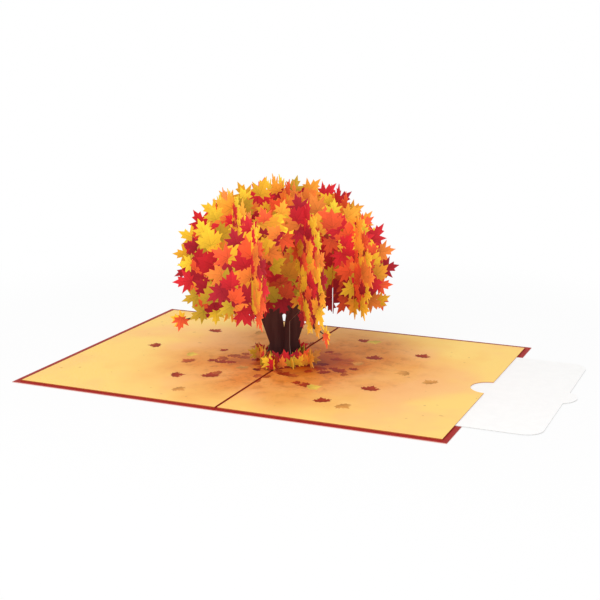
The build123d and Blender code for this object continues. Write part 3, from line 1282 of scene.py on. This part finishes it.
@dataclass
class PileSheet(PrintedSheet):
    """A low sheet of leaves at the foot of the trunk, with a glue tab turned out under a liner."""

    foliage: Foliage = field(default_factory=Foliage)
    side: int = 1
    seed: int = 0
    flap_side: int = 1
    half: float = 13.5 * MM
    band: float = 4.5 * MM
    fan: float = 60
    leaves: int = 6
    leaf_small: float = 8 * MM
    leaf_large: float = 11 * MM
    tab_centre: float = 6.5 * MM
    tab_width: float = 6 * MM
    flap: float = 5 * MM
    front_turns: tuple[float, float] = (50, 130)
    tones: tuple[Tone, ...] = ()

    PITCH = 11 * MM
    MIX = LeafMix(
        low={Tone.AMBER: 1, Tone.ORANGE: 2, Tone.OCHRE: 2, Tone.RED: 2, Tone.BRICK: 2, Tone.OLIVE: 2},
        high={Tone.YELLOW: 2, Tone.AMBER: 1.5, Tone.ORANGE: 3, Tone.RED: 2, Tone.CRIMSON: 1.5, Tone.OLIVE: 2},
    )

    def patches(self) -> list[Patch]:
        """Prints the leaves that fan out along the sheet, and shorter ones in front of them.

        Returns:
            The shapes, lowest first.
        """
        chance = random.Random(self.seed)
        sway = self.foliage.leaf_turn
        fan, front = [], []
        for i in range(self.leaves):
            share = 2 * i / (self.leaves - 1) - 1
            angle = 90 - share * self.fan + chance.uniform(-sway, sway) / 2
            size = chance.uniform(self.leaf_small, self.leaf_large)
            fan.append(Leaf(share * self.half, self.foliage.floor + self.band, angle, size))
        for leaf in fan[:-1]:
            spot = (leaf.s + self.half / self.leaves, leaf.z - self.band / 2)
            front.append(Leaf(*spot, chance.uniform(*self.front_turns), self.leaf_small))
        leaves = fan + front
        fixed = dict(zip(leaves, self.tones))
        painter = Painter(self.MIX, chance, 0, self.band + self.leaf_large, fixed=fixed)
        return [painter.patch(leaf) for leaf in leaves]

    def build(self, finishes: Finishes) -> bpy.types.Object:
        """Makes the sheet, and the flap of its glue tab.

        Args:
            finishes: the materials of the coats.

        Returns:
            The sheet's object.
        """
        self.outline_side = -self.flap_side
        piece = super().build(finishes)
        shell = bmesh.new()
        shell.from_mesh(piece.data)
        middle = self.side * self.tab_centre
        corners = []
        for lift in (0.0, self.flap):
            for s, z in ((-1, 0), (1, 0), (1, 1), (-1, 1)):
                point = (middle + s * self.tab_width / 2, COVER_TOP + z * self.thick)
                corners.append(shell.verts.new(self.axes.place(point, self.flap_side * lift)))
        # The flap is a box: its two ends, then the four sides between them
        sides = [(0, 1, 2, 3), (7, 6, 5, 4)]
        sides += [(i, i + 4, (i + 1) % 4 + 4, (i + 1) % 4) for i in range(4)]
        for side in sides:
            face = shell.faces.new([corners[i] for i in (side if self.flap_side < 0 else side[::-1])])
            face.material_index = list(Coat).index(Coat.BARE)
        write_shell(shell, piece.data)
        return piece


@dataclass(frozen=True)
class FallenLeaf:
    """A leaf printed on a liner: where it lies in millimetres, its turn, its length and its tone."""

    x: float
    y: float
    turn: float
    size: float
    tone: Tone


@dataclass(frozen=True)
class LinerSize:
    """Where a liner lies: distance of its two edges from the fold, its depth along it, and its levels."""

    inner: float = 0.8 * MM
    outer: float = 123.8 * MM
    depth: float = 178.6 * MM
    bottom: float = 0.9 * MM
    thick: float = 0.25 * MM


@dataclass
class Liner(PrintedSheet):
    """The printed paper on one leaf of the cover."""

    fallen: tuple[FallenLeaf, ...] = ()
    litter: int = 90
    litter_gap: float = 5.8 * MM
    litter_near: float = 15 * MM
    litter_far: float = 46 * MM
    litter_small: float = 5.5 * MM
    litter_large: float = 8.5 * MM
    litter_bend: float = 1.7
    size: LinerSize = LinerSize()
    back_strip: float = 1.6 * MM
    left_strip: float = 1.1 * MM
    seed: int = 0

    LITTER_MIX = LeafMix(
        low={Tone.MAROON: 2, Tone.BRICK: 4, Tone.RUST: 3},
        high={Tone.BRICK: 3, Tone.RUST: 3, Tone.OCHRE: 1},
    )

    def patches(self) -> list[Patch]:
        """Prints red strips along the far edges, the litter round the trunk, and the leaves further out.

        Returns:
            The shapes, lowest first.
        """
        chance = random.Random(self.seed)
        back, left = self.size.depth / 2, -self.size.outer
        z_strip, s_strip = back - self.back_strip, left + self.left_strip
        strips = (
            [(left, z_strip), (-left, z_strip), (-left, back), (left, back)],
            [(left, -back), (s_strip, -back), (s_strip, back), (left, back)],
        )
        patches = [Patch(strip, Coat.BARE, Tone.SHADE, Tone.SHADE) for strip in strips]
        taken: list[Point] = []
        for _ in range(self.litter):
            share = chance.random() ** self.litter_bend
            away = self.litter_near + share * (self.litter_far - self.litter_near)
            bearing = chance.uniform(0, 2 * math.pi)
            spot = (away * math.cos(bearing), away * math.sin(bearing))
            size = chance.uniform(self.litter_small, self.litter_large)
            leaf = Leaf(*spot, chance.uniform(0, 360), size, LeafShape.PRINTED)
            tone = self.LITTER_MIX.draw(chance, share)
            if all(math.dist(spot, other) > self.litter_gap for other in taken):
                taken.append(spot)
                patches.append(Patch(leaf.outline(), Coat.LEAF, tone, tone, leaf))
        for one in self.fallen:
            leaf = Leaf(one.x * MM, one.y * MM, one.turn, one.size * MM, LeafShape.PRINTED)
            patches.append(Patch(leaf.outline(), Coat.LEAF, one.tone, one.tone, leaf))
        return patches


# The card

@dataclass
class GlueBead:
    """Clear glue pressed out under a liner's edges, with the cover's red showing in it."""

    side: int
    name: str
    liner: LinerSize = LinerSize()
    inset: float = 0.1 * MM
    width: float = 0.9 * MM
    bulge: float = 0.15 * MM
    steps: int = 4

    def section(self) -> Loop:
        """Draws a bead's section, with a round outer side.

        Returns:
            Its corners: distance in from the liner's edge, and height.
        """
        top, bottom = self.liner.bottom, COVER_TOP
        middle, half = (top + bottom) / 2, (top - bottom) / 2
        turns = [math.pi * (i / self.steps - 0.5) for i in range(self.steps + 1)]
        side = [(self.inset + self.bulge * (1 - math.cos(t)), middle + half * math.sin(t)) for t in turns]
        return side + [(self.inset + self.width, top), (self.inset + self.width, bottom)]

    def run(self, shell: bmesh.types.BMesh, start: Vector, end: Vector, inward: Vector) -> None:
        """Lays a bead along one edge.

        Args:
            shell: the mesh that takes it.
            start: where it starts.
            end: where it ends.
            inward: direction from the liner's edge to under it.
        """
        section = self.section()
        rings = []
        for spot in (start, end):
            rings.append([shell.verts.new(spot + inward * away + UP * z) for away, z in section])
        for i in range(len(section)):
            shell.faces.new((rings[0][i - 1], rings[0][i], rings[1][i], rings[1][i - 1]))
        for ring in rings:
            shell.faces.new(ring)

    def build(self, material: bpy.types.Material) -> bpy.types.Object:
        """Lays the beads along the front, the back and the fold, and along the left liner's outer edge.

        Args:
            material: the glue's material.

        Returns:
            The beads' object.
        """
        fold, outer, edge = self.side * self.liner.inner, self.side * self.liner.outer, self.liner.depth / 2
        reach = edge - self.inset - self.width
        runs = [((fold, end * edge), (outer, end * edge), (0, -end)) for end in (-1, 1)]
        runs.append(((fold, -reach), (fold, reach), (self.side, 0)))
        if self.side < 0:
            runs.append(((outer, -reach), (outer, reach), (-self.side, 0)))
        shell = bmesh.new()
        for run in runs:
            self.run(shell, *[Vector((*part, 0)) for part in run])
        bmesh.ops.recalc_face_normals(shell, faces=shell.faces)
        mesh = bpy.data.meshes.new(self.name)
        write_shell(shell, mesh)
        mesh.materials.append(material)
        bead = placed(self.name, mesh)
        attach(bead, CARD_BODY)
        return bead


@dataclass
class CardBase:
    """The red cover, its glue strips, the liners and the note card."""

    liner: LinerSize = LinerSize()
    left_seed: int = 51
    right_seed: int = 52
    left_leaves: tuple[FallenLeaf, ...] = (
        FallenLeaf(-88, 4, 200, 9, Tone.BRICK),
        FallenLeaf(-71, 48, 75, 9, Tone.BRICK),
        FallenLeaf(-60, -6, 20, 8, Tone.STRAW),
        FallenLeaf(-53, -19, 160, 9, Tone.RUST),
        FallenLeaf(-35, -14, 95, 8, Tone.BRICK),
        FallenLeaf(-48, -47, 30, 9, Tone.BRICK),
        FallenLeaf(-28, -41, 115, 10, Tone.BRICK),
        FallenLeaf(-34, -69, 340, 8, Tone.OCHRE),
        FallenLeaf(-43, 56, 10, 9, Tone.OCHRE),
    )
    right_leaves: tuple[FallenLeaf, ...] = (
        FallenLeaf(26, 63, 60, 8, Tone.BRICK),
        FallenLeaf(33, 65, 300, 9, Tone.STRAW),
        FallenLeaf(46, 29, 100, 10, Tone.BRICK),
        FallenLeaf(71, 44, 80, 9, Tone.BRICK),
        FallenLeaf(73, 8, 210, 9, Tone.OCHRE),
        FallenLeaf(92, -4, 140, 9, Tone.OCHRE),
        FallenLeaf(64, -29, 90, 10, Tone.BRICK),
        FallenLeaf(33, -38, 40, 9, Tone.STRAW),
        FallenLeaf(48, -58, 120, 9, Tone.BRICK),
        FallenLeaf(60, -61, 330, 9, Tone.OCHRE),
        FallenLeaf(36, -4, 75, 9, Tone.BRICK),
    )

    def build(self, finishes: Finishes) -> list[bpy.types.Object]:
        """Prints the liners and finishes the other pieces.

        Args:
            finishes: the materials of the printed sheets.

        Returns:
            The pieces.
        """
        middle = UP * (self.liner.bottom + self.liner.thick / 2)
        axes = Axes(middle, Vector((1, 0, 0)), Vector((0, 1, 0)))
        pieces = []
        liners = (
            ("left_liner", self.left_leaves, self.left_seed),
            ("right_liner", self.right_leaves, self.right_seed),
        )
        for node, fallen, seed in liners:
            liner = Liner(
                node, "liner_print", axes, self.liner.thick, ground=Coat.GROUND, ground_tone=Tone.RUST,
                printed_back=False, fallen=fallen, seed=seed,
            )
            pieces.append(liner.build(finishes))
        glue = GLUE_BEAD.material()
        pieces += [GlueBead(-1, "left_glue_bead").build(glue), GlueBead(1, "right_glue_bead").build(glue)]
        return pieces + self.dress()

    def dress(self) -> list[bpy.types.Object]:
        """Gives the cover, the note card and the glue strips their finishes.

        Returns:
            These pieces.
        """
        boards = {
            COVER_BOARD: ("cover",),
            NOTE_BOARD: ("note_card",),
            GLUE_TAPE: ("left_glue_strips", "right_glue_strips"),
        }
        pieces = []
        for board, nodes in boards.items():
            material = board.material()
            for name in nodes:
                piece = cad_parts[name]
                piece.data.materials.clear()
                piece.data.materials.append(material)
                pieces.append(piece)
        return pieces


@dataclass
class Tree:
    """The slotted maple tree, and the pile of leaves round its foot."""

    foliage: Foliage = field(default_factory=Foliage)
    crown: tuple[tuple[str, SheetSet, int, int, LeafMix], ...] = (
        ("tree_sheet_a_front", SheetSet.A, 1, 11, CROWN_MIX),
        ("tree_sheet_a_centre", SheetSet.A, 0, 12, CENTRE_MIX),
        ("tree_sheet_a_back", SheetSet.A, -1, 13, CROWN_MIX),
        ("tree_sheet_b_left", SheetSet.B, -1, 21, COLUMN_MIX),
        ("tree_sheet_b_centre", SheetSet.B, 0, 22, COLUMN_MIX),
        ("tree_sheet_b_right", SheetSet.B, 1, 23, COLUMN_MIX),
    )
    piles: tuple[tuple[str, SheetSet, int, int], ...] = (
        ("leaf_pile_front", SheetSet.A, 1, 41),
        ("leaf_pile_back", SheetSet.A, -1, 42),
        ("leaf_pile_right", SheetSet.B, 1, 43),
        ("leaf_pile_left", SheetSet.B, -1, 44),
    )
    front_pile: tuple[Tone, ...] = (
        Tone.LEMON, Tone.CRIMSON, Tone.RED, Tone.CRIMSON, Tone.FLAME, Tone.OCHRE,
        Tone.RED, Tone.ORANGE, Tone.OLIVE, Tone.YELLOW, Tone.AMBER,
    )
    slot: str = "tree_print"

    def build(self, finishes: Finishes) -> list[bpy.types.Object]:
        """Prints the crown's sheets and the pile's.

        Args:
            finishes: the materials of the printed sheets.

        Returns:
            The pieces.
        """
        sheets: list[PrintedSheet] = []
        thick = self.foliage.thick
        for node, way, place, seed, mix in self.crown:
            offset = place * self.foliage.pitch
            sheets.append(CrownSheet(
                node, self.slot, way.axes(offset), thick, foliage=self.foliage, offset=offset, seed=seed,
                mix=mix, forked=way is SheetSet.B and not offset,
            ))
        for node, way, side, seed in self.piles:
            sheets.append(PileSheet(
                node, self.slot, way.axes(side * PileSheet.PITCH), thick, foliage=self.foliage, side=side,
                seed=seed, flap_side=side if way is SheetSet.A else -side,
                tones=self.front_pile if node == "leaf_pile_front" else (),
            ))
        return [sheet.build(finishes) for sheet in sheets]


# Camera, light and floor

@dataclass
class Studio:
    """Camera, soft light, and a white floor that keeps the card's shadow."""

    azimuth: float = 23.13
    elevation: float = 13.56
    eye: tuple[float, float, float] = (0.27923, -0.62987, 0.20548)
    lens: float = 72.66
    sensor: float = 36.0
    sky: float = 0.68
    key_azimuth: float = 2.0
    key_elevation: float = 42.0
    key_away: float = 1.5
    key_size: float = 0.9
    key_power: float = 12.5
    clip: tuple[float, float] = (0.01, 20.0)
    floor_radius: float = 4.0
    floor_sides: int = 96
    floor_drop: float = 0.1 * MM
    floor_albedo: float = 0.9
    floor_white: float = 0.86
    near: float = 0.2
    far: float = 0.36

    @staticmethod
    def outward(azimuth: float, elevation: float) -> Vector:
        """Direction from the card towards a place round it; azimuth 0 is in front of it, at -Y."""
        a, e = math.radians(azimuth), math.radians(elevation)
        return Vector((math.sin(a) * math.cos(e), -math.cos(a) * math.cos(e), math.sin(e)))

    def add(self, name: str, data: bpy.types.ID, spot: Vector, back: Vector) -> bpy.types.Object:
        """Adds a camera or lamp.

        Args:
            name: its name.
            data: its settings.
            spot: its place.
            back: direction opposite to the one that it looks in.

        Returns:
            The object.
        """
        made = placed(name, data)
        made.location = spot
        made.rotation_euler = (-back).to_track_quat("-Z", "Y").to_euler()
        return made

    def camera(self) -> None:
        """Sets the camera at the photograph's angle."""
        data = bpy.data.cameras.new("camera")
        data.lens, data.sensor_width = self.lens, self.sensor
        data.clip_start, data.clip_end = self.clip
        back = self.outward(self.azimuth, self.elevation)
        bpy.context.scene.camera = self.add("camera", data, Vector(self.eye), back)

    def lamp(self) -> None:
        """Hangs a large soft lamp above and in front of the card."""
        data = bpy.data.lights.new("key", "AREA")
        data.shape, data.size, data.energy = "SQUARE", self.key_size, self.key_power
        back = self.outward(self.key_azimuth, self.key_elevation)
        self.add("key", data, back * self.key_away, back)

    @staticmethod
    def seen(nodes: Nodes) -> bpy.types.NodeSocket:
        """Tells rays that show a surface from rays that only light others.

        Args:
            nodes: the node tree that asks.

        Returns:
            1 for rays from the camera and for rays that a mirror or glass sends on, 0 for the rest.
        """
        rays = nodes.node("LightPath").outputs
        seen = nodes.math("MAXIMUM", rays["Is Camera Ray"], rays["Is Glossy Ray"])
        return nodes.math("MAXIMUM", seen, rays["Is Transmission Ray"])

    def floor(self) -> None:
        """Lays the floor: white far out, and near the card white with the card's soft shadow."""
        mesh = bpy.data.meshes.new("floor")
        disc = bmesh.new()
        bmesh.ops.create_circle(disc, cap_ends=True, segments=self.floor_sides, radius=self.floor_radius)
        write_shell(disc, mesh)
        floor = placed("floor", mesh)
        floor.location.z = -self.floor_drop
        shader = Shader("floor_white")
        away = shader.node("VectorMath", shader.place(), operation="LENGTH").outputs["Value"]
        white = shader.span(away, self.near, self.far, self.floor_white, 1.0)
        share = shader.math("MULTIPLY", white, self.seen(shader))
        albedo = (self.floor_albedo, self.floor_albedo, self.floor_albedo)
        matt = shader.node("BsdfDiffuse", albedo).outputs[0]
        glow = shader.node("Emission", (1.0, 1.0, 1.0), 1.0).outputs[0]
        mixed = shader.node("MixShader", share, matt, glow)
        shader.tree.nodes.remove(shader.surface)
        shader.feed(shader.tree.nodes["Material Output"].inputs["Surface"], mixed.outputs[0])
        mesh.materials.append(shader.material)

    def surround(self) -> None:
        """Makes the surround: a plain sky for the light, and white where it is seen."""
        world = bpy.data.worlds.new("surround")
        bpy.context.scene.world = world
        world.use_nodes = True
        nodes = Nodes(world.node_tree)
        level = nodes.node("MapRange", self.seen(nodes), None, None, self.sky, 1.0)
        sky = nodes.tree.nodes["Background"]
        nodes.feed(sky.inputs["Color"], (1.0, 1.0, 1.0))
        nodes.feed(sky.inputs["Strength"], level.outputs[0])

    def build(self) -> None:
        """Sets up the camera, the lamp, the floor and the surround."""
        bpy.context.scene.view_settings.view_transform = "Standard"
        self.camera()
        self.lamp()
        self.floor()
        self.surround()


def main() -> None:
    """Builds the card, the tree and the studio, and reports each piece."""
    logging.basicConfig(level=logging.INFO, format="%(name)s: %(message)s")
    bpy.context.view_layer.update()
    finishes = Finishes.made()
    for assembly in (CardBase(), Tree()):
        for piece in assembly.build(finishes):
            log.info("%s: %d faces", piece.name, len(piece.data.polygons))
    Studio().build()
    log.info("studio: camera, lamp, floor and surround")


if __name__ == "__main__":
    main()
